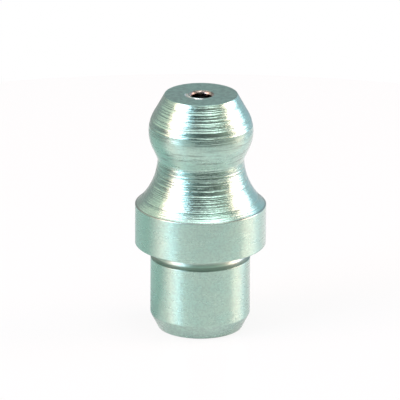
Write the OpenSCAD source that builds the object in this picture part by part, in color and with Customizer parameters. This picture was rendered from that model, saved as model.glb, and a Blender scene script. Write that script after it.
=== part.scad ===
// Drive-in grease nipple with a conical head: one turned body, a check ball and the ball's spring.
// The axis is Z. The shank's end is at z = 0, and the head's flat face is at the top.

/* [Shank] */
// Diameter of the shank, a press fit in a 6 mm hole
shank_d = 6.1; // [5.9:0.05:6.6]
// Length of the shank, from its end to the collar
shank_len = 5.35; // [4:0.05:9]
// Length of the lead-in taper at the shank's end
lead_len = 0.94; // [0.5:0.02:1.4]
// Diameter at the foot of the lead-in taper
lead_d = 5.16; // [4.8:0.02:5.6]
// Width of the rounded undercut between the shank and the collar
undercut_w = 0.85; // [0.5:0.05:1.1]
// Depth of the undercut below the shank's surface
undercut_depth = 0.3; // [0.15:0.05:0.4]

/* [Collar] */
// Diameter of the collar, which stops on the rim of the hole
collar_d = 8; // [7.4:0.1:10]
// Height of the collar
collar_h = 2.56; // [1.5:0.02:4]
// Width of the broken edges round the collar
edge_break = 0.05; // [0.02:0.01:0.15]

/* [Neck and head] */
// Diameter of the neck at its narrowest, right under the head
neck_d = 5.28; // [4.9:0.02:5.6]
// Radius of the hollow curve that flares from the neck to the collar
flare_r = 4.15; // [3.6:0.05:12]
// Largest diameter of the head, behind which the coupler's jaws grip
head_d = 6.38; // [6.2:0.02:6.6]
// Height of the head's largest diameter above the collar
head_rise = 4.62; // [4.2:0.02:6]
// Radius of the curve round the head's largest diameter
head_curve_r = 2.34; // [1.9:0.02:2.5]
// Angle between the cone under the head and the axis
under_angle = 24; // [20:1:30]
// Angle between the sealing cone over the head and the axis
cone_angle = 29; // [25:1:35]
// Diameter of the flat face on top of the head
flat_d = 4.46; // [4:0.02:4.8]

/* [Inlet and seat] */
// Diameter of the inlet hole
inlet_d = 1.26; // [1:0.02:1.4]
// Radius of the rounded rim of the inlet hole
rim_r = 0.16; // [0.06:0.01:0.2]
// Height from the top of the ball's seat to the flat face
seat_depth = 0.19; // [0.15:0.01:0.4]
// Angle between the conical seat and the axis
seat_angle = 45; // [40:1:50]
// Diameter of the check ball
ball_d = 2.38; // [2.2:0.01:2.5]

/* [Bore and rolled end] */
// Diameter of the bore that holds the ball and the spring
bore_d = 2.9; // [2.8:0.05:3.2]
// Inner diameter of the lip rolled in at the shank's end, which holds the spring up
lip_d = 1.9; // [1.5:0.05:2]
// Height of the lip's shoulder above the shank's end
lip_h = 0.6; // [0.45:0.05:0.9]
// Diameter of the dish that the rolling tool leaves in the shank's end
dish_d = 3.6; // [3.2:0.05:4]
// Depth of the dish
dish_depth = 0.25; // [0.1:0.05:0.35]

/* [Spring] */
// Diameter of the spring's wire
wire_d = 0.35; // [0.25:0.01:0.4]
// Diameter of the coils, from wire centre to wire centre
coil_d = 2; // [1.8:0.05:2.2]
// Number of turns, with the closed turn at each end
spring_turns = 18; // [12:1:22]

/* [Clearances] */
// Gap between the resting ball and its seat
seat_gap = 0.02; // [0.01:0.01:0.05]
// Gap between the spring and what it bears on, and between its closed turns
spring_gap = 0.02; // [0.01:0.01:0.05]

/* [Hidden] */
$fn = 96;

// radii
shank_r = shank_d / 2;
collar_r = collar_d / 2;
neck_r = neck_d / 2;
flat_r = flat_d / 2;
inlet_r = inlet_d / 2;
bore_r = bore_d / 2;
lip_r = lip_d / 2;
dish_r = dish_d / 2;
ball_r = ball_d / 2;
wire_r = wire_d / 2;
coil_r = coil_d / 2;

// the head: a curve round its largest diameter, with a cone that runs into it above and below;
// each cone ends just under the curve, so that the two cross instead of only touching
blend_depth = 0.005;
blend_reach = 0.3;
collar_top = shank_len + collar_h;
head_centre = [head_d / 2 - head_curve_r, collar_top + head_rise];
cone_foot = on_circle(head_centre, head_curve_r - blend_depth, cone_angle);
under_top = on_circle(head_centre, head_curve_r - blend_depth, -under_angle);
neck_z = under_top[1] - (under_top[0] - neck_r) / tan(under_angle);
top_z = cone_foot[1] + (cone_foot[0] - flat_r) / tan(cone_angle);

// the flare: a hollow curve from the narrow rim on top of the collar to the neck
collar_rim = 0.03;
flare_foot = [collar_r - edge_break - collar_rim, collar_top];
flare_centre = arc_centre(flare_foot, [neck_r, neck_z], flare_r);

// how far one section of the body reaches into the next
lap = 0.1;

// the undercut: a round groove whose chord is the shank's surface
undercut_r = (pow(undercut_w / 2, 2) + pow(undercut_depth, 2)) / (2 * undercut_depth);
undercut_centre = [shank_r - undercut_depth + undercut_r, shank_len - undercut_w / 2];

// the ball rests against the conical seat, and the spring's last turn against the ball
seat_top = top_z - seat_depth;
seat_foot = seat_top - (bore_r - inlet_r) / tan(seat_angle);
seat_apex = seat_top + inlet_r / tan(seat_angle);
ball_z = seat_apex - (ball_r + seat_gap) / sin(seat_angle);
coil_top = ball_z - sqrt(pow(ball_r + wire_r + spring_gap, 2) - pow(coil_r, 2));
coil_foot = lip_h + spring_gap + wire_r;

// the spring: a flat half turn at each end, a closed turn, and open turns between
flat_turn = 0.5;
closed_rise = wire_d + spring_gap;
open_pitch = (coil_top - coil_foot - 2 * closed_rise) / (spring_turns - 2);
wire_sides = 8;
turn_steps = 12;

function on_circle(centre, r, angle) = centre + r * [cos(angle), sin(angle)];

// centre of the arc of radius r through p and q, on the right of the way from p to q
function arc_centre(p, q, r) =
    let (half = (q - p) / 2, h = sqrt(r * r - half * half))
    p + half + h * [half[1], -half[0]] / norm(half);

// rise of an end turn at t turns from the wire's end: flat at first, then up to a closed turn
function end_rise(t) =
    let (s = max(0, (t - flat_turn) / (1 - flat_turn)))
    closed_rise * s * s * (3 - 2 * s);

// height of the wire's centre at t turns from the spring's foot
function coil_z(t) =
    t < 1 ? coil_foot + end_rise(t)
    : t > spring_turns - 1 ? coil_top - end_rise(spring_turns - t)
    : coil_foot + closed_rise + (t - 1) * open_pitch;

module shank_section() {
    difference() {
        polygon([
            [0, 0],
            [lead_d / 2, 0],
            [shank_r, lead_len],
            [shank_r, shank_len + lap],
            [0, shank_len + lap],
        ]);
        translate(undercut_centre) circle(r = undercut_r);
    }
}

module collar_section() {
    polygon([
        [0, shank_len],
        [collar_r - edge_break, shank_len],
        [collar_r, shank_len + edge_break],
        [collar_r, collar_top - edge_break],
        [collar_r - edge_break, collar_top],
        [0, collar_top],
    ]);
}

module flare_section() {
    difference() {
        translate([0, collar_top - lap])
            square([collar_r - edge_break, neck_z - collar_top + 2 * lap]);
        translate(flare_centre) circle(r = flare_r);
    }
}

module head_section() {
    polygon([
        [0, neck_z - lap],
        [neck_r - lap * tan(under_angle), neck_z - lap],
        under_top,
        cone_foot,
        [flat_r, top_z],
        [0, top_z],
    ]);
    intersection() {
        translate(head_centre) circle(r = head_curve_r);
        translate([0, under_top[1] - blend_reach])
            square([head_d, cone_foot[1] - under_top[1] + 2 * blend_reach]);
    }
}

// everything that is drilled or rolled inside the body
module bore_section() {
    polygon([
        [0, lip_h],
        [bore_r, lip_h],
        [bore_r, seat_foot],
        [inlet_r, seat_top],
        [inlet_r, top_z + 1],
        [0, top_z + 1],
    ]);
    polygon([
        [0, -1],
        [dish_r, -1],
        [dish_r, 0],
        [lip_r, dish_depth],
        [lip_r, lip_h + wire_d],
        [0, lip_h + wire_d],
    ]);
    difference() {
        translate([0, top_z - rim_r]) square([inlet_r + rim_r, 2 * rim_r]);
        translate([inlet_r + rim_r, top_z - rim_r]) circle(r = rim_r);
    }
}

module body() {
    color([0.72, 0.78, 0.75])
        rotate_extrude()
            difference() {
                union() {
                    shank_section();
                    collar_section();
                    flare_section();
                    head_section();
                }
                bore_section();
            }
}

module check_ball() {
    color([0.6, 0.62, 0.64])
        translate([0, 0, ball_z]) sphere(r = ball_r);
}

// the wire is one polyhedron: rings of points along the helix, and a cap at each end
module spring() {
    rings = spring_turns * turn_steps;
    points = [
        for (i = [0:rings], k = [0:wire_sides - 1])
            let (
                turn = i / turn_steps,
                round = 360 * k / wire_sides,
                r = coil_r + wire_r * cos(round),
                z = coil_z(turn) + wire_r * sin(round)
            )
            [r * cos(360 * turn), r * sin(360 * turn), z]
    ];
    sides = [
        for (i = [0:rings - 1], k = [0:wire_sides - 1])
            let (a = i * wire_sides, b = a + wire_sides, next = (k + 1) % wire_sides)
            [a + k, b + k, b + next, a + next]
    ];
    first_cap = [for (k = [0:wire_sides - 1]) k];
    last_cap = [for (k = [wire_sides - 1:-1:0]) rings * wire_sides + k];
    color([0.5, 0.52, 0.55])
        polyhedron(points, concat(sides, [first_cap, last_cap]));
}

body();
check_ball();
spring();
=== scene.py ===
"""Looks for the drive-in grease nipple: one turned, plated body, its check ball and the ball's spring.

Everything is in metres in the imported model's frame. The body's section repeats part.scad's in mm, with
softened edges, and with the marks of the turning tool as real grooves.
"""
import math
import random

import bpy
from mathutils import Matrix, Vector, noise


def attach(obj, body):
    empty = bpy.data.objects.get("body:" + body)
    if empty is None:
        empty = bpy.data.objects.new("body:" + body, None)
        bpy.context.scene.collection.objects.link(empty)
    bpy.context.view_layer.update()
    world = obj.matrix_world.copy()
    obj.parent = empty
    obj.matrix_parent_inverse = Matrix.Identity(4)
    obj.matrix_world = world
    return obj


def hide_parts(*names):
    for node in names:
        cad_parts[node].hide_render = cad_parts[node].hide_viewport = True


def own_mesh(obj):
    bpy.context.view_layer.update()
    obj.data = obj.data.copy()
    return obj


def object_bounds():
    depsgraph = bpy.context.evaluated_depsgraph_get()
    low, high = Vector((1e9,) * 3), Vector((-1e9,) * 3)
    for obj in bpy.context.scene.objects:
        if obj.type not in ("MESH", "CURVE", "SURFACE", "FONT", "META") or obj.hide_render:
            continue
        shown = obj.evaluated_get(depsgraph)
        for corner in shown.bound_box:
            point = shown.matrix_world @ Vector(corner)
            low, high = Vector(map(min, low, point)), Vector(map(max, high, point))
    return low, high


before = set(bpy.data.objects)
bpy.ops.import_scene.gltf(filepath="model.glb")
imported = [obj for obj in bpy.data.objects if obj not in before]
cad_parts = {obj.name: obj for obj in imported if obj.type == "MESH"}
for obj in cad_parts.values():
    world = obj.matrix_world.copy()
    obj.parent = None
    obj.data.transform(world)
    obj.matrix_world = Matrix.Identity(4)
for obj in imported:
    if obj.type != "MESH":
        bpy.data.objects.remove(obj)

cad_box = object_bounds()

MM = 0.001


# ---------------------------------------------------------------- shader helpers

def node(tree, kind, inputs=None, **settings):
    """A shader node; inputs maps a socket's name or index to a value or to another node's socket."""
    made = tree.nodes.new(kind)
    for name, value in settings.items():
        setattr(made, name, value)
    for name, value in (inputs or {}).items():
        if isinstance(value, bpy.types.NodeSocket):
            tree.links.new(value, made.inputs[name])
        else:
            made.inputs[name].default_value = value
    return made


def maths(tree, operation, a, b=0.0):
    """The output of a Math node."""
    return node(tree, "ShaderNodeMath", {0: a, 1: b}, operation=operation).outputs[0]


def vector_maths(tree, operation, a, b=(0, 0, 0), output="Vector"):
    """The output of a Vector Math node."""
    return node(tree, "ShaderNodeVectorMath", {0: a, 1: b}, operation=operation).outputs[output]


def product(tree, first, *others):
    for other in others:
        first = maths(tree, "MULTIPLY", first, other)
    return first


def total(tree, first, *others):
    for other in others:
        first = maths(tree, "ADD", first, other)
    return first


def smooth(tree, value, low, high, to_low=0.0, to_high=1.0):
    """Goes smoothly from to_low to to_high while value goes from low to high, and stays there beyond."""
    limits = {"From Min": low, "From Max": high, "To Min": to_low, "To Max": to_high}
    made = node(tree, "ShaderNodeMapRange", {"Value": value, **limits}, interpolation_type="SMOOTHSTEP")
    return made.outputs["Result"]


def mix_colour(tree, share, a, b):
    return node(tree, "ShaderNodeMix", {0: share, 6: a, 7: b}, data_type="RGBA").outputs[2]


def ray_kind(tree):
    """1 for a ray straight from the camera, and 1 for one that something reflected or let through."""
    path = node(tree, "ShaderNodeLightPath").outputs
    return path["Is Camera Ray"], maths(tree, "MAXIMUM", path["Is Glossy Ray"], path["Is Transmission Ray"])


# ---------------------------------------------------------------- camera and studio

# the photograph's view: the point aimed at, the distance, the angles in degrees and the lens in mm
AIM = Vector((-0.039, 0, 8.069)) * MM
CAMERA_DISTANCE = 0.43674
CAMERA_ELEVATION, CAMERA_ROLL = 18.93, 0.27
LENS, SENSOR = 644.8, 36

# the grey light from all round; reflections also show a share of the white backdrop, more towards the back
STUDIO = (0.11, 0.13, 0.13)
BACKDROP_SHARE, BACKDROP_EDGES = 0.33, (-0.35, 0.55)
# soft glows in the surroundings: azimuth, its inner and outer reach, elevations, softness (all in degrees)
# and colour
GLOWS = [
    (0, (60, 110), (59, 90), 10, (1.3, 1.13, 1.20)),
    (38, (10, 32), (46, 56), 8, (0.8, 0.68, 0.68)),
    (36, (8, 26), (12, 40), 12, (0.16, 0.13, 0.12)),
    (180, (70, 120), (70, 90), 20, (0.9, 0.9, 0.9)),
    (-116, (12, 42), (18, 50), 6, (0.84, 0.78, 0.64)),
    (-40, (6, 30), (-20, 15), 15, (0.30, 0.38, 0.42)),
    (72, (8, 32), (0, 50), 20, (0.36, 0.34, 0.28)),
    (135, (8, 40), (-10, 40), 15, (0.14, 0.35, 0.50)),
]

FLOOR_RADIUS, FLOOR_SIDES, FLOOR_DROP = 0.05, 96, 0.02 * MM
# the floor's white, the colour of the painted shadow that reflections see on one side of it, and its
# roughness
FLOOR_WHITE, FLOOR_PAINTED_SHADOW, FLOOR_ROUGHNESS = (0.8, 0.8, 0.8, 1), (0.355, 0.525, 0.50, 1), 0.15
# how much of the floor's own white the camera sees, and how much reflections see
FLOOR_GLOW, FLOOR_SHINE = 0.85, 0.3
# reflections see a painted shadow on the floor on the side away from this azimuth, between these cosines of
# the angle from it
FLOOR_OPEN_SIDE, FLOOR_OPEN_EDGES = 60, (-0.94, -0.71)
# right under the object, within these distances from its axis, they see it bright all round
FLOOR_FOOT_EDGES = (2.6 * MM, 4 * MM)

WHITE = (1, 1, 1, 1)
WARM, COOL = (1.0, 0.60, 0.53, 1), (0.48, 0.66, 0.88, 1)
# the lamps aim at the object's middle; they fade towards their upper and lower edges, and their colour
# drifts between two places across them
LAMP_AIM, LAMP_DISTANCE = Vector((0, 0, 7.5)) * MM, 0.25
LAMP_FADE, LAMP_DRIFT = 0.15, (0.35, 0.95)


def sine(degrees):
    return math.sin(math.radians(degrees))


def cosine(degrees):
    return math.cos(math.radians(degrees))


def towards(azimuth, elevation):
    """Unit vector from the object; azimuth 0 is the camera's side, + is to its right."""
    flat = cosine(elevation)
    return Vector((sine(azimuth) * flat, -cosine(azimuth) * flat, sine(elevation)))


def alignment(tree, direction, azimuth):
    """Cosine of the angle between a direction and an azimuth."""
    return vector_maths(tree, "DOT_PRODUCT", direction, towards(azimuth, 0), "Value")


def add_camera():
    """Camera at the photograph's angle, far away with a long lens."""
    back = towards(0, CAMERA_ELEVATION)
    data = bpy.data.cameras.new("camera")
    data.sensor_width = SENSOR
    data.lens = LENS
    data.clip_start = 0.01
    data.clip_end = 10
    camera = bpy.data.objects.new("camera", data)
    turn = (-back).to_track_quat("-Z", "Y").to_matrix().to_4x4()
    roll = Matrix.Rotation(math.radians(CAMERA_ROLL), 4, "Z")
    camera.matrix_world = Matrix.Translation(AIM + back * CAMERA_DISTANCE) @ turn @ roll
    bpy.context.scene.collection.objects.link(camera)
    bpy.context.scene.camera = camera


def soft_glow(tree, level_direction, height, azimuth, reach, elevations, soft, colour):
    """A glow's colour where it shines, and black elsewhere; height is the sine of the elevation."""
    (inner, outer), (low, high) = reach, elevations
    inside = smooth(tree, alignment(tree, level_direction, azimuth), cosine(outer), cosine(inner))
    inside = product(tree, inside, smooth(tree, height, sine(low - soft), sine(low)))
    if high < 90:
        inside = product(tree, inside, smooth(tree, height, sine(high), sine(min(90, high + soft)), 1.0, 0.0))
    return node(tree, "ShaderNodeVectorMath", {0: colour, "Scale": inside}, operation="SCALE").outputs[0]


def add_world():
    """White behind the object for the camera; a grey studio with soft glows for everything else."""
    world = bpy.data.worlds.new("studio")
    bpy.context.scene.world = world
    world.use_nodes = True
    tree = world.node_tree
    tree.nodes.clear()
    direction = node(tree, "ShaderNodeTexCoord").outputs["Generated"]
    parts = node(tree, "ShaderNodeSeparateXYZ", {0: direction}).outputs
    level_direction = node(tree, "ShaderNodeCombineXYZ", {0: parts["X"], 1: parts["Y"]}).outputs[0]
    level_direction = vector_maths(tree, "NORMALIZE", level_direction)
    light = node(tree, "ShaderNodeCombineXYZ", dict(enumerate(STUDIO))).outputs[0]
    for spec in GLOWS:
        light = vector_maths(tree, "ADD", light, soft_glow(tree, level_direction, parts["Z"], *spec))
    camera_ray, reflected = ray_kind(tree)
    behind = smooth(tree, parts["Y"], *BACKDROP_EDGES, 0.0, BACKDROP_SHARE)
    share = maths(tree, "MAXIMUM", camera_ray, product(tree, reflected, behind))
    shown = mix_colour(tree, share, light, WHITE)
    background = node(tree, "ShaderNodeBackground", {"Color": shown, "Strength": 1.0})
    node(tree, "ShaderNodeOutputWorld", {"Surface": background.outputs[0]})


def floor_white():
    """Smooth white with a glow of its own, and a painted shadow on one side for reflections; it can't be seen
    from below.
    """
    material = bpy.data.materials.new("floor_white")
    material.use_nodes = True
    tree = material.node_tree
    tree.nodes.clear()
    camera_ray, reflected = ray_kind(tree)
    place = node(tree, "ShaderNodeTexCoord").outputs["Object"]
    from_middle = vector_maths(tree, "LENGTH", place, output="Value")
    aligned = alignment(tree, vector_maths(tree, "NORMALIZE", place), FLOOR_OPEN_SIDE)
    open_side = smooth(tree, aligned, *FLOOR_OPEN_EDGES)
    under = smooth(tree, from_middle, *FLOOR_FOOT_EDGES, 1.0, 0.0)
    bright = maths(tree, "MAXIMUM", open_side, under)
    # painted shadow: away from the open side and outside the foot, rays other than the camera's see the floor
    # in the shadow colour
    colour = mix_colour(tree, maths(tree, "MAXIMUM", bright, camera_ray), FLOOR_PAINTED_SHADOW, FLOOR_WHITE)
    plain = node(tree, "ShaderNodeBsdfPrincipled", {"Base Color": colour, "Roughness": FLOOR_ROUGHNESS})
    glow = node(tree, "ShaderNodeEmission", {"Color": WHITE, "Strength": 1.0})
    share = total(tree, product(tree, camera_ray, FLOOR_GLOW), product(tree, reflected, bright, FLOOR_SHINE))
    lit = node(tree, "ShaderNodeMixShader", {0: share, 1: plain.outputs[0], 2: glow.outputs[0]})
    clear = node(tree, "ShaderNodeBsdfTransparent")
    from_below = node(tree, "ShaderNodeNewGeometry").outputs["Backfacing"]
    both = node(tree, "ShaderNodeMixShader", {0: from_below, 1: lit.outputs[0], 2: clear.outputs[0]})
    node(tree, "ShaderNodeOutputMaterial", {"Surface": both.outputs[0]})
    return material


def add_floor():
    """Plain white floor just under the object, which keeps a faint shadow."""
    mesh = bpy.data.meshes.new("floor")
    z = cad_box[0][2] - FLOOR_DROP
    turns = [360 * k / FLOOR_SIDES for k in range(FLOOR_SIDES)]
    edge = [(FLOOR_RADIUS * cosine(turn), FLOOR_RADIUS * sine(turn), z) for turn in turns]
    mesh.from_pydata(edge, [], [tuple(range(FLOOR_SIDES))])
    mesh.materials.append(floor_white())
    floor = bpy.data.objects.new("floor", mesh)
    bpy.context.scene.collection.objects.link(floor)


def softbox(name, azimuth, elevation, width, height, brightness, near, far, soft, corner=0.0):
    """Soft-edged lamp aimed at the object, with its width and height in degrees and its brightness.

    Its colour drifts from near to far. soft is the fade at its near and far edges, and corner cuts
    its near lower corner."""
    away = towards(azimuth, elevation)
    data = bpy.data.lights.new(name, "AREA")
    data.shape = "RECTANGLE"
    data.size = 2 * LAMP_DISTANCE * math.tan(math.radians(width / 2))
    data.size_y = 2 * LAMP_DISTANCE * math.tan(math.radians(height / 2))
    data.energy = brightness * math.pi * data.size * data.size_y
    data.use_nodes = True
    tree = data.node_tree
    place = node(tree, "ShaderNodeNewGeometry").outputs["Parametric"]
    place = node(tree, "ShaderNodeSeparateXYZ", {0: place}).outputs
    across, up = place["X"], place["Y"]
    down = maths(tree, "SUBTRACT", 1.0, up)
    inner = maths(tree, "SUBTRACT", across, product(tree, down, down, corner))
    strength = product(
        tree,
        smooth(tree, inner, 0, soft[0]),
        smooth(tree, across, 1 - soft[1], 1, 1, 0),
        smooth(tree, up, 0, LAMP_FADE),
        smooth(tree, up, 1 - LAMP_FADE, 1, 1, 0))
    glow = tree.nodes["Emission"]
    tree.links.new(mix_colour(tree, smooth(tree, across, *LAMP_DRIFT), near, far), glow.inputs["Color"])
    tree.links.new(strength, glow.inputs["Strength"])
    lamp = bpy.data.objects.new(name, data)
    turn = away.to_track_quat("Z", "Y").to_matrix().to_4x4()
    lamp.matrix_world = Matrix.Translation(LAMP_AIM + away * LAMP_DISTANCE) @ turn
    lamp.visible_camera = False
    bpy.context.scene.collection.objects.link(lamp)


bpy.context.scene.view_settings.view_transform = "Standard"
add_camera()
add_world()
add_floor()
softbox("left_softbox", -69, 27, 56, 60, 7.4, WARM, COOL, (0.5, 0.15), 0.25)
softbox("right_softbox", 103, 19, 50, 44, 7.3, WARM, COOL, (0.12, 0.5))
softbox("top_softbox", 50, 72, 38, 38, 2.4, WHITE, WHITE, (0.3, 0.3))


# ---------------------------------------------------------------- the body's section

# sizes in mm, as in part.scad
SHANK_R, SHANK_LEN = 3.05, 5.35
LEAD_R, LEAD_LEN = 2.58, 0.94
UNDERCUT_W, UNDERCUT_DEPTH = 0.85, 0.3
COLLAR_R, COLLAR_H, EDGE_BREAK, COLLAR_RIM = 4.0, 2.56, 0.05, 0.03
NECK_R, FLARE_R = 2.64, 4.15
HEAD_R, HEAD_RISE, HEAD_CURVE_R = 3.19, 4.62, 2.34
UNDER_ANGLE, CONE_ANGLE, BLEND_DEPTH = 24, 29, 0.005
FLAT_R, INLET_R, SEAT_DEPTH, SEAT_ANGLE = 2.23, 0.63, 0.19, 45
BORE_R, LIP_R, LIP_H, DISH_R, DISH_DEPTH = 1.45, 0.95, 0.6, 1.8, 0.25
# the width of the hole's rounded rim, a little more than in part.scad
RIM_W = 0.23
# the angle up the head's curve in degrees, from its widest place, where its marks get clearer
MARKS_CHANGE = 9.5


def on_circle(centre, radius, degrees):
    return centre[0] + radius * cosine(degrees), centre[1] + radius * sine(degrees)


def arc_centre(start, end, radius):
    """Centre of the arc through two points, on the right of the way from start to end."""
    half_r, half_z = (end[0] - start[0]) / 2, (end[1] - start[1]) / 2
    half = math.hypot(half_r, half_z)
    away = math.sqrt(radius ** 2 - half ** 2) / half
    return start[0] + half_r + away * half_z, start[1] + half_z - away * half_r


COLLAR_TOP = SHANK_LEN + COLLAR_H
UNDERCUT_FOOT = SHANK_LEN - UNDERCUT_W
UNDERCUT_R = ((UNDERCUT_W / 2) ** 2 + UNDERCUT_DEPTH ** 2) / (2 * UNDERCUT_DEPTH)
UNDERCUT_CENTRE = (SHANK_R - UNDERCUT_DEPTH + UNDERCUT_R, SHANK_LEN - UNDERCUT_W / 2)
# the head's cones cross its curve a little past the places where they would only touch it
HEAD_CENTRE = (HEAD_R - HEAD_CURVE_R, COLLAR_TOP + HEAD_RISE)
PAST = math.degrees(math.acos(1 - BLEND_DEPTH / HEAD_CURVE_R))
UNDER_TOP = on_circle(HEAD_CENTRE, HEAD_CURVE_R, -UNDER_ANGLE - PAST)
HEAD_MIDDLE = on_circle(HEAD_CENTRE, HEAD_CURVE_R, MARKS_CHANGE)
CONE_FOOT = on_circle(HEAD_CENTRE, HEAD_CURVE_R, CONE_ANGLE + PAST)
NECK_Z = UNDER_TOP[1] - (UNDER_TOP[0] - NECK_R) / math.tan(math.radians(UNDER_ANGLE))
TOP = CONE_FOOT[1] + (CONE_FOOT[0] - FLAT_R) / math.tan(math.radians(CONE_ANGLE))
FLARE_FOOT = (COLLAR_R - EDGE_BREAK - COLLAR_RIM, COLLAR_TOP)
FLARE_CENTRE = arc_centre(FLARE_FOOT, (NECK_R, NECK_Z), FLARE_R)
SEAT_TOP = TOP - SEAT_DEPTH
SEAT_FOOT = SEAT_TOP - (BORE_R - INLET_R) / math.tan(math.radians(SEAT_ANGLE))
RIM_R = INLET_R + RIM_W

# the section's points lie this far apart in mm; arcs are cut to a whole number of these
STEP = 0.008
ARC_STEP, ROUNDING = 3 * STEP, STEP / 1000


def arc(centre, start, end):
    """Points from start to end, the short way round a centre."""
    radius = math.dist(centre, start)
    first, last = (math.degrees(math.atan2(z - centre[1], r - centre[0])) for r, z in (start, end))
    sweep = (last - first + 180) % 360 - 180
    count = max(2, int(abs(math.radians(sweep)) * radius / ARC_STEP))
    return [on_circle(centre, radius, first + sweep * i / count) for i in range(count + 1)]


def section():
    """Named stretches of the section, from the bore's foot round the outside to the bore's top, in mm."""
    rim_turns = [90 * i / 8 for i in range(9)]
    collar_side = COLLAR_R - EDGE_BREAK
    return [
        ("lip", [(BORE_R, LIP_H), (LIP_R, LIP_H), (LIP_R, DISH_DEPTH)]),
        ("dish", [(LIP_R, DISH_DEPTH), (DISH_R, 0.0)]),
        ("end", [(DISH_R, 0.0), (LEAD_R, 0.0)]),
        ("lead", [(LEAD_R, 0.0), (SHANK_R, LEAD_LEN)]),
        ("shank", [(SHANK_R, LEAD_LEN), (SHANK_R, UNDERCUT_FOOT)]),
        ("undercut", arc(UNDERCUT_CENTRE, (SHANK_R, UNDERCUT_FOOT), (SHANK_R, SHANK_LEN))),
        ("underside", [(SHANK_R, SHANK_LEN), (collar_side, SHANK_LEN), (COLLAR_R, SHANK_LEN + EDGE_BREAK)]),
        ("collar", [(COLLAR_R, SHANK_LEN + EDGE_BREAK), (COLLAR_R, COLLAR_TOP - EDGE_BREAK)]),
        ("collar_rim", [(COLLAR_R, COLLAR_TOP - EDGE_BREAK), (collar_side, COLLAR_TOP), FLARE_FOOT]),
        ("flare", arc(FLARE_CENTRE, FLARE_FOOT, (NECK_R, NECK_Z))),
        ("under_cone", [(NECK_R, NECK_Z), UNDER_TOP]),
        ("head_low", arc(HEAD_CENTRE, UNDER_TOP, HEAD_MIDDLE)),
        ("head_high", arc(HEAD_CENTRE, HEAD_MIDDLE, CONE_FOOT)),
        ("cone", [CONE_FOOT, (FLAT_R, TOP)]),
        ("flat", [(FLAT_R, TOP), (RIM_R, TOP)]),
        ("rim", [(RIM_R - RIM_W * sine(turn), SEAT_TOP + SEAT_DEPTH * cosine(turn)) for turn in rim_turns]),
        ("seat", [(INLET_R, SEAT_TOP), (BORE_R, SEAT_FOOT)]),
        ("bore", [(BORE_R, SEAT_FOOT), (BORE_R, LIP_H)]),
    ]


# how far apart the mesh's rows are along each stretch in mm, and how far its corners are softened in mm
ROW_GAP = {
    "lip": 0.12, "dish": 0.12, "end": 0.1, "lead": 0.06, "shank": 0.08, "undercut": 0.04,
    "underside": 0.08, "collar": 0.06, "collar_rim": 0.012, "flare": 0.016, "under_cone": 0.022,
    "head_low": 0.022, "head_high": 0.016, "cone": 0.02, "flat": 0.035, "rim": 0.025, "seat": 0.04,
    "bore": 0.4,
}
SOFTENING = {
    "lip": 0.02, "dish": 0.02, "end": 0.03, "lead": 0.03, "shank": 0.02, "undercut": 0.015,
    "underside": 0.012, "collar": 0.012, "collar_rim": 0.008, "flare": 0.01, "under_cone": 0.02,
    "head_low": 0.02, "head_high": 0.02, "cone": 0.015, "flat": 0.012, "rim": 0.01, "seat": 0.01,
    "bore": 0.01,
}
# the rows are closer where the section bends sharply over this many points each way
BEND_REACH, SHARP_BEND, CORNER_ROW_GAP = 6, 0.0003, 0.012


def dense_section():
    """The closed section as evenly spaced points, each with its stretch's name, corners softened."""
    points, names = [], []
    for name, line in section():
        for (r0, z0), (r1, z1) in zip(line, line[1:]):
            count = max(1, round(math.hypot(r1 - r0, z1 - z0) / STEP))
            for i in range(count):
                points.append((r0 + (r1 - r0) * i / count, z0 + (z1 - z0) * i / count))
                names.append(name)
    softened = []
    for i, name in enumerate(names):
        spread = SOFTENING[name]
        reach = math.ceil(3 * spread / STEP)
        r = z = weights = 0.0
        for j in range(-reach, reach + 1):
            weight = math.exp(-0.5 * (j * STEP / spread) ** 2)
            point = points[(i + j) % len(points)]
            r += weight * point[0]
            z += weight * point[1]
            weights += weight
        softened.append((r / weights, z / weights))
    return softened, names


# ---------------------------------------------------------------- the marks of the tool

# the clearest rings, upwards along each stretch: start and end in mm, and tilt in radians
RINGS = {
    "flare": [
        (0.25, 0.30, -0.25), (0.36, 0.41, -0.15), (0.45, 0.50, -0.25), (0.55, 0.62, -0.42),
        (0.69, 0.75, 0.06), (0.80, 0.85, -0.15), (0.88, 0.92, 0.07), (1.07, 1.11, 0.11), (1.25, 1.32, 0.16),
        (1.38, 1.43, 0.2), (1.50, 1.54, 0.13), (1.61, 1.68, 0.38), (1.93, 2.00, 0.3), (2.26, 2.30, 0.42),
        (2.43, 2.48, 0.36), (2.50, 2.55, 0.36), (2.57, 2.62, 0.25), (2.75, 2.79, 0.4), (2.99, 3.11, 0.08),
    ],
    "head_low": [(1.21, 1.29, -0.12), (1.31, 1.39, -0.12)],
    "head_high": [
        (0.04, 0.13, 0.4), (0.41, 0.52, 0.42), (0.59, 0.65, 0.34), (0.675, 0.72, 0.25), (0.86, 0.93, 0.18),
    ],
    "cone": [
        (0.0, 0.11, 0.17), (0.24, 0.33, 0.14), (0.40, 0.50, 0.1), (0.60, 0.70, 0.24), (0.74, 0.82, 0.2),
        (0.85, 0.93, 0.09), (1.03, 1.12, 0.13), (1.13, 1.19, 0.22),
    ],
}
# the step back to the surface beside each ring in mm
STEP_BACK = 0.02
# the fine and the faint valleys: the least and greatest width in mm, and the steepest slope
FINE_MARKS = {
    "cone": ((0.06, 0.12), 0.4), "flare": ((0.06, 0.12), 0.4), "head_high": ((0.06, 0.12), 0.3),
    "head_low": ((0.06, 0.10), 0.12), "under_cone": ((0.06, 0.10), 0.2), "flat": ((0.07, 0.11), 0.05),
}
FAINT_MARKS = {
    "head_low": ((0.14, 0.30), 0.15), "under_cone": ((0.14, 0.26), 0.3), "flat": ((0.14, 0.24), 0.06),
}
# the valleys fade in and out over this much of a stretch's ends in mm
MARKS_FADE = 0.08
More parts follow.
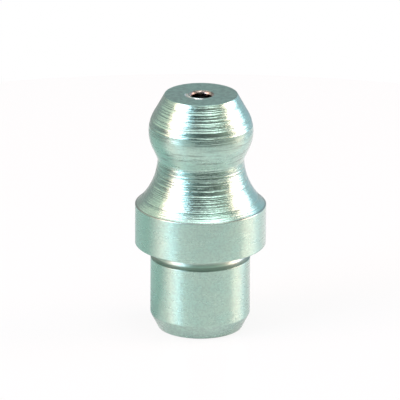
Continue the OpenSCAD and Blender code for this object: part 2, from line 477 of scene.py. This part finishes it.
# how often round the axis the marks fade and deepen, and how much
WIDE_WAVER, FINE_WAVER = (3.0, 0.6), (12.0, 2.0)
# the worn places beside the hole: the angle round the axis and the reach in radians, and the depth in mm
WORN = [(4.5, 0.28, 0.11), (3.4, 0.3, 0.08), (3.8, 0.15, 0.05)]
# the middle of the worn ring and half its width in mm
WORN_R, WORN_HALF_WIDTH = 0.91, 0.11
# the seed of the marks, how far their places in the noise spread, and the mesh's steps round the axis
SEED, NOISE_SPAN, SEGMENTS = 7, 100, 128


def valleys(rng, length, widths, slope):
    """Irregular valleys over a length in mm: start, width, depth and place in the noise.

    A valley is steepest at its sides, with a slope of 4 times its depth over its width. Few come near
    the steepest slope."""
    marks, at = [], 0.0
    while at < length:
        width = rng.uniform(*widths)
        depth = slope * rng.betavariate(1.5, 3.5) * width / 4
        marks.append((at, width, depth, rng.uniform(0, NOISE_SPAN)))
        at += width
    return marks


def valley(marks, at):
    """Depth at a place along the valleys, and that valley's place in the noise."""
    for start, width, depth, seed in marks:
        if start <= at < start + width:
            return depth * (1 - (2 * (at - start) / width - 1) ** 2), seed
    return 0.0, 0.0


def ring(rings, at):
    """Depth at a place along the clearest rings, and that ring's place in the noise.

    A ring is a slope across the surface with a short step back to it: facing up where its tilt is
    above 0, with the step after it, and facing down below 0, with the step before it."""
    for start, end, tilt, seed in rings:
        depth = abs(tilt) * (end - start)
        before, across, after = at - start + STEP_BACK, (at - start) / (end - start), end + STEP_BACK - at
        if tilt > 0 and start <= at < end + STEP_BACK:
            return depth * min(across, after / STEP_BACK), seed
        if tilt < 0 and start - STEP_BACK <= at < end:
            return depth * min(1 - across, before / STEP_BACK), seed
    return 0.0, 0.0


def worn(r, z, angle):
    """How far the flat beside the hole is worn down in mm, where the coupler bears harder."""
    across = 1 - ((r - WORN_R) / WORN_HALF_WIDTH) ** 2
    if z < SEAT_TOP or across < 0:
        return 0.0
    return across * sum(depth * math.exp(-((angle - at) / reach) ** 2) for at, reach, depth in WORN)


def rows_with_cuts():
    """The section's points that get a row in the mesh, each with its outward normal and its cuts.

    A cut is its depth in mm, its place in the noise, and how often and how much it wavers."""
    points, names = dense_section()
    lengths = {name: names.count(name) * STEP for name in ROW_GAP}
    rng = random.Random(SEED)
    fine = {name: valleys(rng, lengths[name], *spec) for name, spec in FINE_MARKS.items()}
    faint = {name: valleys(rng, lengths[name], *spec) for name, spec in FAINT_MARKS.items()}
    rings = {name: [(*spec, rng.uniform(0, NOISE_SPAN)) for spec in specs] for name, specs in RINGS.items()}
    rows, run, since_row = [], 0.0, math.inf
    for i, name in enumerate(names):
        run = 0.0 if i and names[i - 1] != name else run + STEP
        since_row += STEP
        r, z = points[i]
        before, after = points[i - BEND_REACH], points[(i + BEND_REACH) % len(points)]
        bend = abs((r - before[0]) * (after[1] - z) - (z - before[1]) * (after[0] - r))
        gap = min(CORNER_ROW_GAP, ROW_GAP[name]) if bend > SHARP_BEND else ROW_GAP[name]
        if since_row < gap - ROUNDING:
            continue
        since_row = 0.0
        before, after = points[i - 1], points[(i + 1) % len(points)]
        dr, dz = after[0] - before[0], after[1] - before[1]
        normal = (dz / math.hypot(dr, dz), -dr / math.hypot(dr, dz))
        fade = max(0.0, min(1.0, run / MARKS_FADE, (lengths[name] - run) / MARKS_FADE))
        found = [
            (fade, valley(fine.get(name, []), run), FINE_WAVER),
            (fade, valley(faint.get(name, []), run), WIDE_WAVER),
            (1.0, ring(rings.get(name, []), run), WIDE_WAVER),
        ]
        cuts = [(share * depth, seed, *waver) for share, (depth, seed), waver in found if depth]
        rows.append((points[i], normal, cuts))
    return rows


def add_mesh(name, vertices, faces):
    """A smooth-shaded piece from vertices in mm."""
    mesh = bpy.data.meshes.new(name)
    mesh.from_pydata([(x * MM, y * MM, z * MM) for x, y, z in vertices], [], faces)
    mesh.shade_smooth()
    piece = bpy.data.objects.new(name, mesh)
    bpy.context.scene.collection.objects.link(piece)
    return piece


def turned_body():
    """The section turned round Z, with the tool's marks and the worn places cut in."""
    vertices, faces = [], []
    rows = rows_with_cuts()
    for (r, z), normal, cuts in rows:
        for k in range(SEGMENTS):
            angle = 2 * math.pi * k / SEGMENTS
            x, y = math.cos(angle), math.sin(angle)
            depth = sum(deep * max(0.0, 1 + change * noise.noise(Vector((often * x, often * y, seed))))
                        for deep, seed, often, change in cuts)
            cut_r, cut_z = r - normal[0] * depth, z - normal[1] * depth - worn(r, z, angle)
            vertices.append((cut_r * x, cut_r * y, cut_z))
    for i in range(len(rows)):
        a, b = i * SEGMENTS, (i + 1) % len(rows) * SEGMENTS
        for k in range(SEGMENTS):
            following = (k + 1) % SEGMENTS
            faces.append((a + k, a + following, b + following, b + k))
    return add_mesh("turned_body", vertices, faces)


# ---------------------------------------------------------------- materials

PLATING_A, PLATING_B = (0.39, 0.64, 0.54, 1), (0.42, 0.64, 0.53, 1)
PLATING_DARK = (0.30, 0.46, 0.40, 1)
LINE_COLOUR = (0.13, 0.20, 0.17, 1)
INSIDE_COLOUR = (0.20, 0.22, 0.20, 1)
UNDERCUT_COLOUR = (0.54, 0.70, 0.61, 1)
HOLE_EDGE_A, HOLE_EDGE_B = (0.14, 0.11, 0.09, 1), (0.42, 0.36, 0.30, 1)
BARE_COLOUR = (0.86, 0.88, 0.85, 1)
TOP_COLOUR_A, TOP_COLOUR_B = (0.18, 0.42, 0.38, 1), (0.30, 0.60, 0.53, 1)
# the ball's near-black colours and dark edge tint are painted shade from the inlet
BALL_SHADE_A, BALL_SHADE_B, BALL_EDGE = (0.03, 0.03, 0.03, 1), (0.06, 0.06, 0.06, 1), (0.2, 0.2, 0.2, 1)
SPRING_A, SPRING_B = (0.30, 0.30, 0.30, 1), (0.42, 0.42, 0.41, 1)


class Steel:
    """A turned steel's material: coordinates in mm round the axis, and streaks that follow the turning."""

    def __init__(self, name):
        self.material = bpy.data.materials.new(name)
        self.material.use_nodes = True
        self.tree = tree = self.material.node_tree
        self.shader = tree.nodes["Principled BSDF"]
        self.set("Metallic", 1.0)
        self.tint = None
        self.place = node(tree, "ShaderNodeTexCoord").outputs["Object"]
        parts = node(tree, "ShaderNodeSeparateXYZ", {0: self.place})
        x, y, self.z = (maths(tree, "MULTIPLY", parts.outputs[i], 1 / MM) for i in range(3))
        square = total(tree, product(tree, x, x), product(tree, y, y))
        # kept off 0, because x and y are divided by it
        self.r = maths(tree, "MAXIMUM", maths(tree, "SQRT", square), 0.05)
        self.cos, self.sin = maths(tree, "DIVIDE", x, self.r), maths(tree, "DIVIDE", y, self.r)
        # changes along the section on walls and faces alike
        self.along = maths(tree, "SUBTRACT", self.z, self.r)

    def set(self, socket, value):
        self.shader.inputs[socket].default_value = value

    def link(self, socket, value):
        self.tree.links.new(value, self.shader.inputs[socket])

    def streaks(self, around, along):
        """Noise drawn out round the axis: its scale round the axis, and along the section per mm."""
        tree = self.tree
        where = node(tree, "ShaderNodeCombineXYZ", {
            0: product(tree, self.cos, around),
            1: product(tree, self.sin, around),
            2: product(tree, self.along, along)})
        return node(tree, "ShaderNodeTexNoise", {
            "Vector": where.outputs[0], "Scale": 1.0, "Detail": 3.0, "Roughness": 0.6}).outputs["Fac"]

    def blotches(self, scale):
        """Plain noise with its scale per mm."""
        settings = {"Vector": self.place, "Scale": scale / MM, "Detail": 3.0}
        return node(self.tree, "ShaderNodeTexNoise", settings).outputs["Fac"]

    def rise(self, low, high, to_low=0.0, to_high=1.0):
        """Goes from to_low to to_high between two heights in mm."""
        return smooth(self.tree, self.z, low, high, to_low, to_high)

    def band(self, low, high, soft):
        """1 between two heights in mm, and 0 beyond them."""
        over, under = self.rise(low - soft, low + soft), self.rise(high - soft, high + soft, 1.0, 0.0)
        return product(self.tree, over, under)

    def within(self, inner, outer):
        """1 nearer to the axis than inner, and 0 beyond outer, in mm."""
        return smooth(self.tree, self.r, inner, outer, 1.0, 0.0)

    def beyond(self, inner, outer):
        """0 nearer to the axis than inner, and 1 beyond outer, in mm."""
        return smooth(self.tree, self.r, inner, outer)

    def blend(self, noise_value, low, high, colour_a, colour_b):
        """A colour that goes from one to another with a noise."""
        return mix_colour(self.tree, smooth(self.tree, noise_value, low, high), colour_a, colour_b)

    def paint(self, share, colour):
        """Lays a colour over what is painted so far."""
        self.tint = mix_colour(self.tree, share, self.tint, colour)

    def bump(self, height, depth):
        """A bump of the given depth in mm."""
        made = node(self.tree, "ShaderNodeBump", {"Strength": 1.0, "Distance": depth * MM, "Height": height})
        self.link("Normal", made.outputs[0])


def plated_steel():
    """Zinc plating with drawn lines and speckles, dull on top, bare and dark at the hole."""
    steel = Steel("plated_steel")
    tree = steel.tree
    steel.set("Anisotropic", 0.4)
    steel.set("Anisotropic Rotation", 0.25)
    steel.set("Coat Weight", 1.0)
    steel.set("Coat Roughness", 0.35)
    steel.set("Coat IOR", 1.6)
    brushed, wide, lines = steel.streaks(5, 22), steel.streaks(2.5, 5), steel.streaks(2.2, 12)
    speckle, patches = steel.blotches(8.0), steel.blotches(3.5)

    # where the finish differs, or where shade is painted: places in mm, a little inside or outside the edges
    # that they belong to
    marked = total(tree, steel.band(COLLAR_TOP - 0.01, NECK_Z - 0.06, 0.08),
                   steel.rise(HEAD_CENTRE[1] + 0.27, HEAD_CENTRE[1] + 0.47))
    under_head = steel.band(NECK_Z + 0.29, HEAD_CENTRE[1] + 0.07, 0.2)
    top = steel.rise(TOP - 0.027, TOP - 0.007)
    hole_edge = product(tree, steel.within(RIM_R - 0.09, RIM_R - 0.06),
                        steel.rise(SEAT_TOP - 0.067, SEAT_TOP - 0.017))
    bare = product(tree, steel.beyond(RIM_R - 0.06, RIM_R - 0.04), steel.within(RIM_R + 0.17, RIM_R + 0.19),
                   steel.band(TOP - 0.157, TOP - 0.012, 0.004))
    inside = product(tree, steel.within(BORE_R + 0.02, BORE_R + 0.05),
                     steel.band(DISH_DEPTH + 0.03, SEAT_TOP - 0.047, 0.02))
    undercut = steel.band(UNDERCUT_FOOT + 0.02, SHANK_LEN - 0.02, 0.02)
    # painted shade: a dark band at the foot of the undercut, where it meets the shank
    undercut_foot_shade = steel.band(UNDERCUT_FOOT - 0.01, UNDERCUT_FOOT + 0.16, 0.03)
    collar_edge = product(tree, steel.band(COLLAR_TOP - 0.045, COLLAR_TOP + 0.02, 0.01),
                          steel.beyond(COLLAR_R - 0.09, COLLAR_R - 0.07))
    # the lead: painted shade, and coarser grain in the bump
    lead = steel.rise(LEAD_LEN - 0.04, LEAD_LEN + 0.02, 0.65, 0.0)

    steel.tint = steel.blend(steel.blotches(0.9), 0.35, 0.65, PLATING_A, PLATING_B)
    steel.paint(smooth(tree, brushed, 0.3, 0.75, 0.0, 0.35), PLATING_DARK)
    steel.paint(product(tree, under_head, smooth(tree, lines, 0.52, 0.66, 0.0, 0.75)), LINE_COLOUR)
    steel.paint(smooth(tree, speckle, 0.42, 0.62, 0.0, 0.5), PLATING_DARK)
    # painted shade: the lead is darker, standing in for the floor's contact shadow that it reflects
    steel.paint(product(tree, lead, smooth(tree, speckle, 0.40, 0.60, 0.5, 1.5)), PLATING_DARK)
    steel.paint(product(tree, undercut, 0.8), UNDERCUT_COLOUR)
    # painted shade at the undercut's foot; the collar's top edge is painted darker too
    steel.paint(product(tree, maths(tree, "MAXIMUM", collar_edge, undercut_foot_shade), 0.7), INSIDE_COLOUR)
    steel.paint(product(tree, top, 0.85), steel.blend(patches, 0.40, 0.60, TOP_COLOUR_A, TOP_COLOUR_B))
    steel.paint(bare, BARE_COLOUR)
    steel.paint(hole_edge, steel.blend(patches, 0.40, 0.60, HOLE_EDGE_A, HOLE_EDGE_B))
    steel.paint(inside, INSIDE_COLOUR)
    steel.link("Base Color", steel.tint)

    rough = maths(tree, "SUBTRACT", smooth(tree, wide, 0.3, 0.7, 0.26, 0.32), product(tree, marked, 0.1))
    rough = total(tree, rough, product(tree, maths(tree, "MAXIMUM", top, undercut), 0.12))
    steel.link("Roughness", rough)

    line_height = total(tree, product(tree, marked, 1.5), 0.75)
    grain_height = total(tree, product(tree, top, 5.0), product(tree, marked, 1.0), product(tree, lead, 6.0))
    relief = total(tree, product(tree, brushed, line_height), product(tree, speckle, grain_height),
                   product(tree, patches, hole_edge, 7.0))
    steel.bump(relief, 0.005)
    return steel.material


def ball_steel():
    """Hardened steel, near black: painted shade, as the inlet shades it."""
    steel = Steel("ball_steel")
    steel.set("Specular Tint", BALL_EDGE)
    steel.link("Base Color", steel.blend(steel.blotches(2.0), 0.35, 0.65, BALL_SHADE_A, BALL_SHADE_B))
    steel.link("Roughness", smooth(steel.tree, steel.blotches(3.0), 0.3, 0.7, 0.08, 0.16))
    return steel.material


def spring_steel():
    """Drawn wire, grey and slightly rough."""
    steel = Steel("spring_steel")
    steel.link("Base Color", steel.blend(steel.blotches(2.0), 0.35, 0.65, SPRING_A, SPRING_B))
    steel.link("Roughness", smooth(steel.tree, steel.blotches(4.0), 0.3, 0.7, 0.28, 0.4))
    steel.bump(steel.blotches(12.0), 0.002)
    return steel.material


# ---------------------------------------------------------------- pieces

# the spring, as in part.scad; its foot and top are the heights of the wire's centre there
WIRE_R, COIL_R, TURNS, FLAT_TURN, SPRING_GAP = 0.175, 1.0, 18, 0.5, 0.02
COIL_FOOT, COIL_TOP = 0.795, 12.627
TURN_STEPS, WIRE_SIDES = 32, 12
CLOSED_RISE = 2 * WIRE_R + SPRING_GAP
OPEN_PITCH = (COIL_TOP - COIL_FOOT - 2 * CLOSED_RISE) / (TURNS - 2)


def end_rise(turn):
    """Rise of an end turn in mm: flat at first, then up to a closed turn."""
    share = max(0.0, (turn - FLAT_TURN) / (1 - FLAT_TURN))
    return CLOSED_RISE * share * share * (3 - 2 * share)


def coil_height(turn):
    """Height of the wire's centre in mm, some turns from the spring's foot."""
    if turn < 1:
        return COIL_FOOT + end_rise(turn)
    if turn > TURNS - 1:
        return COIL_TOP - end_rise(TURNS - turn)
    return COIL_FOOT + CLOSED_RISE + (turn - 1) * OPEN_PITCH


def coil_spring():
    """The spring as a round wire along its helix, with a closed turn at each end."""
    vertices, faces = [], []
    rings = TURNS * TURN_STEPS
    for i in range(rings + 1):
        turn = i / TURN_STEPS
        for k in range(WIRE_SIDES):
            r = COIL_R + WIRE_R * cosine(360 * k / WIRE_SIDES)
            z = coil_height(turn) + WIRE_R * sine(360 * k / WIRE_SIDES)
            vertices.append((r * cosine(360 * turn), r * sine(360 * turn), z))
    for i in range(rings):
        a, b = i * WIRE_SIDES, (i + 1) * WIRE_SIDES
        for k in range(WIRE_SIDES):
            following = (k + 1) % WIRE_SIDES
            faces.append((a + k, b + k, b + following, a + following))
    faces.append(tuple(range(WIRE_SIDES)))
    faces.append(tuple(rings * WIRE_SIDES + k for k in reversed(range(WIRE_SIDES))))
    return add_mesh("coil_spring", vertices, faces)


body = turned_body()
body.data.materials.append(plated_steel())
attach(body, "nipple")
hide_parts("body")

spring = coil_spring()
spring.data.materials.append(spring_steel())
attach(spring, "nipple")
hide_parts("spring")
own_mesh(spring)

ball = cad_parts["check_ball"]
ball.data.materials.clear()
ball.data.materials.append(ball_steel())
